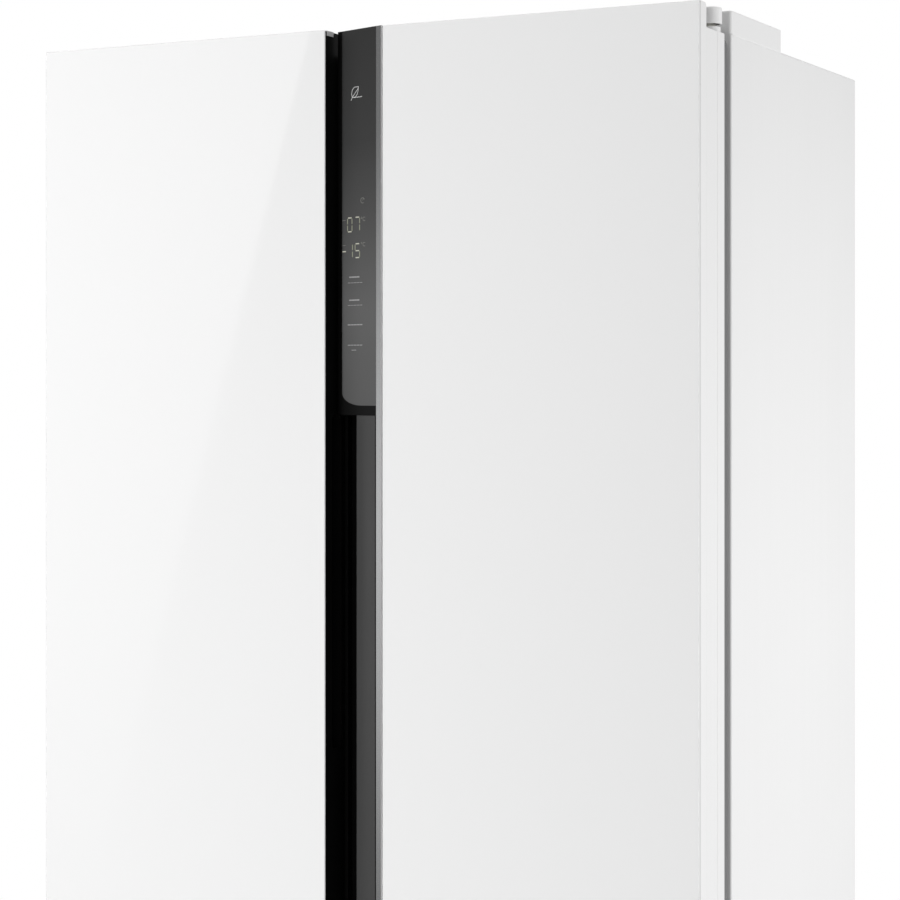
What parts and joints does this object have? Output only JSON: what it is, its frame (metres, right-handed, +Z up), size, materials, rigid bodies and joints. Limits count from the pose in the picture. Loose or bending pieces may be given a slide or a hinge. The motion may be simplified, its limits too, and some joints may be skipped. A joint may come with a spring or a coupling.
{
  "type": "side by side refrigerator",
  "caption": "Two-door upright refrigerator freezer with white glass doors, a black grip channel with control panel, shelves, drawers, door bins and cooling parts.",
  "frame": {"origin": "on the floor under the middle of the width and of the whole depth, spacers included", "axes": "+X to the right of someone facing the doors, doors face -Y, +Z up"},
  "size_m": [0.836, 0.602, 1.7705],
  "materials": {
    "cabinet_white": "satin white enamel",
    "galvanised_sheet": "spangled zinc, dull",
    "foam": "rigid polyurethane foam",
    "liner_white": "glossy moulded polystyrene",
    "grey_plastic": "fine matt grain",
    "rubber": "matt",
    "black_plastic": "matt black moulding",
    "zinc_steel": "bright zinc plate",
    "cover_white": "semi-gloss white moulding",
    "fin_aluminium": "thin bright fins",
    "compressor_black": "satin black paint",
    "lamp_diffuser": "frosted diffuser",
    "shelf_glass": "toughened clear glass",
    "satin_silver": "satin anodised",
    "clear_plastic": "clear moulded polystyrene",
    "door_glass_white": "back-painted white glass, mirror gloss",
    "seal_grey": "soft matt magnetic seal",
    "grip_black": "gloss black moulding",
    "trim_metal": "dark bright metal",
    "panel_glass": "tinted control glass",
    "board_green": "solder mask"
  },
  "bodies": {
    "cabinet": {"back_panel": "galvanised_sheet", "base_pan": "galvanised_sheet", "cabinet_foam": "foam", "compressor": "compressor_black", "condenser": "fin_aluminium", "control_box": "grey_plastic", "cord_gland": "rubber", "drain_pan": "black_plastic", "evaporator": "fin_aluminium", "fan_motors": "black_plastic", "freezer_duct_cover": "liner_white", "freezer_liner": "liner_white", "fridge_duct_cover": "liner_white", "fridge_liner": "liner_white", "hinge_covers": "cover_white", "interior_lamps": "lamp_diffuser", "kick_plate": "grey_plastic", "lower_hinges": "zinc_steel", "machine_cover": "galvanised_sheet", "mullion_strip": "cabinet_white", "outer_case": "cabinet_white", "rear_spacers": "black_plastic", "roller_brackets": "zinc_steel", "screws": "zinc_steel", "shelf_glasses": "shelf_glass", "shelf_trims": "satin_silver", "upper_hinges": "zinc_steel"},
    "left_door": {"left_door_bins": "clear_plastic", "left_door_bushes": "cover_white", "left_door_cap": "cover_white", "left_door_foam": "foam", "left_door_frame": "cover_white", "left_door_glass": "door_glass_white", "left_door_grip": "grip_black", "left_door_liner": "liner_white", "left_door_seal": "seal_grey", "left_door_shell": "cabinet_white"},
    "right_door": {"right_door_bins": "clear_plastic", "right_door_bushes": "cover_white", "right_door_foam": "foam", "right_door_frame": "cover_white", "right_door_glass": "door_glass_white", "right_door_grip": "grip_black", "right_door_liner": "liner_white", "right_door_seal": "seal_grey", "right_door_shell": "cabinet_white", "trim_strip": "trim_metal", "display_housing": "grip_black", "display_glass": "panel_glass", "display_board": "board_green"},
    "freezer_drawer_lower_body": {"freezer_drawer_lower": "clear_plastic"},
    "freezer_drawer_upper_body": {"freezer_drawer_upper": "clear_plastic"},
    "crisper_lower_body": {"crisper_lower": "clear_plastic"},
    "crisper_upper_body": {"crisper_upper": "clear_plastic"},
    "evaporator_fan_body": {"evaporator_fan": "black_plastic"},
    "condenser_fan_body": {"condenser_fan": "black_plastic"},
    "rear_roller_left_body": {"rear_roller_left": "black_plastic"},
    "rear_roller_right_body": {"rear_roller_right": "black_plastic"},
    "front_foot_left_body": {"front_foot_left": "black_plastic"},
    "front_foot_right_body": {"front_foot_right": "black_plastic"}
  },
  "joints": [
    {"name": "left_door_hinge", "type": "hinge", "parent": "cabinet", "child": "left_door", "pos_m": [-0.406, -0.23347, 0.9], "axis": [0, 0, -1], "range_deg": [0, 120]},
    {"name": "right_door_hinge", "type": "hinge", "parent": "cabinet", "child": "right_door", "pos_m": [0.406, -0.23347, 0.9], "axis": [0, 0, 1], "range_deg": [0, 120]},
    {"name": "freezer_drawer_lower_slide", "type": "slide", "parent": "cabinet", "child": "freezer_drawer_lower_body", "axis": [0, -1, 0], "range_m": [0, 0.11]},
    {"name": "freezer_drawer_upper_slide", "type": "slide", "parent": "cabinet", "child": "freezer_drawer_upper_body", "axis": [0, -1, 0], "range_m": [0, 0.21]},
    {"name": "crisper_lower_slide", "type": "slide", "parent": "cabinet", "child": "crisper_lower_body", "axis": [0, -1, 0], "range_m": [0, 0.11]},
    {"name": "crisper_upper_slide", "type": "slide", "parent": "cabinet", "child": "crisper_upper_body", "axis": [0, -1, 0], "range_m": [0, 0.21]},
    {"name": "evaporator_fan_spin", "type": "hinge", "parent": "cabinet", "child": "evaporator_fan_body", "pos_m": [-0.2125, 0.13853, 1.1455], "axis": [0, -1, 0], "continuous": true},
    {"name": "condenser_fan_spin", "type": "hinge", "parent": "cabinet", "child": "condenser_fan_body", "pos_m": [-0.02, 0.15403, 0.102], "axis": [-1, 0, 0], "continuous": true},
    {"name": "rear_roller_left_spin", "type": "hinge", "parent": "cabinet", "child": "rear_roller_left_body", "pos_m": [-0.356, 0.19403, 0.02], "axis": [1, 0, 0], "continuous": true},
    {"name": "rear_roller_right_spin", "type": "hinge", "parent": "cabinet", "child": "rear_roller_right_body", "pos_m": [0.356, 0.19403, 0.02], "axis": [1, 0, 0], "continuous": true},
    {"name": "front_foot_left_screw", "type": "hinge", "parent": "cabinet", "child": "front_foot_left_body", "pos_m": [-0.356, -0.15147, 0], "axis": [0, 0, 1], "continuous": true},
    {"name": "front_foot_right_screw", "type": "hinge", "parent": "cabinet", "child": "front_foot_right_body", "pos_m": [0.356, -0.15147, 0], "axis": [0, 0, 1], "continuous": true}
  ],
  "couplings": [
    {"joint": "freezer_drawer_lower_slide", "follows": "left_door_hinge", "m_per_rad": 0.05238},
    {"joint": "freezer_drawer_upper_slide", "follows": "left_door_hinge", "m_per_rad": 0.1},
    {"joint": "crisper_lower_slide", "follows": "right_door_hinge", "m_per_rad": 0.05238},
    {"joint": "crisper_upper_slide", "follows": "right_door_hinge", "m_per_rad": 0.1}
  ]
}
